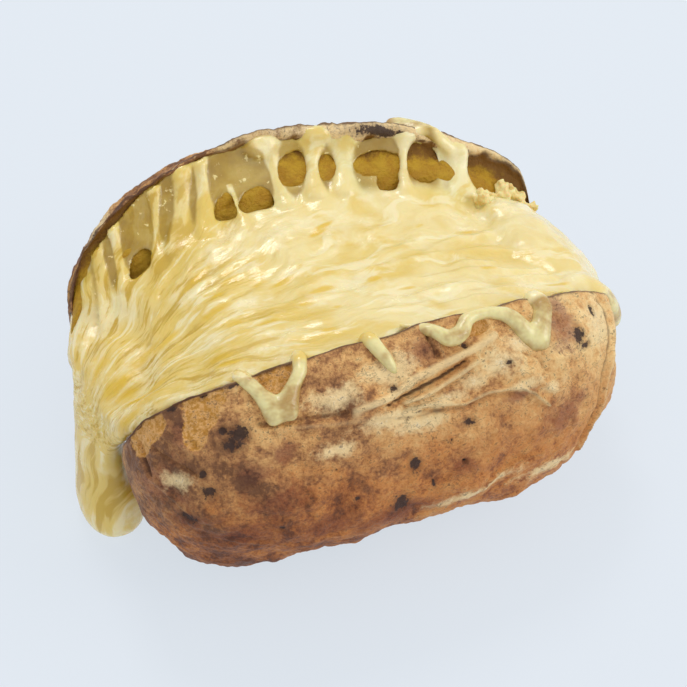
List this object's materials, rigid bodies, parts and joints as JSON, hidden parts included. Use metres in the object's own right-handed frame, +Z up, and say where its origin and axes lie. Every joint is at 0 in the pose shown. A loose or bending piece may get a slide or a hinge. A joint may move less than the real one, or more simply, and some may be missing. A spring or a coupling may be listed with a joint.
{
  "type": "cheese baked potato",
  "caption": "Whole baked potato split open along its top and filled with stringy melted cheese that drips over both rims and runs down one end.",
  "frame": {"origin": "centre of the bounding box on the plane it rests on", "axes": "+X along the potato's length, towards the end away from the long cheese run; +Z up; +Y towards the half whose rim carries the cheese strings"},
  "size_m": [0.1358, 0.1094, 0.0663],
  "materials": {
    "potato_skin": "baked brown potato skin, matt with a slight sheen, and yellow flesh on the cut faces",
    "melted_cheese": "melted pale yellow cheese, glossy and slightly translucent"
  },
  "bodies": {
    "root": {"potato": "potato_skin", "cheese": "melted_cheese"}
  },
  "joints": []
}
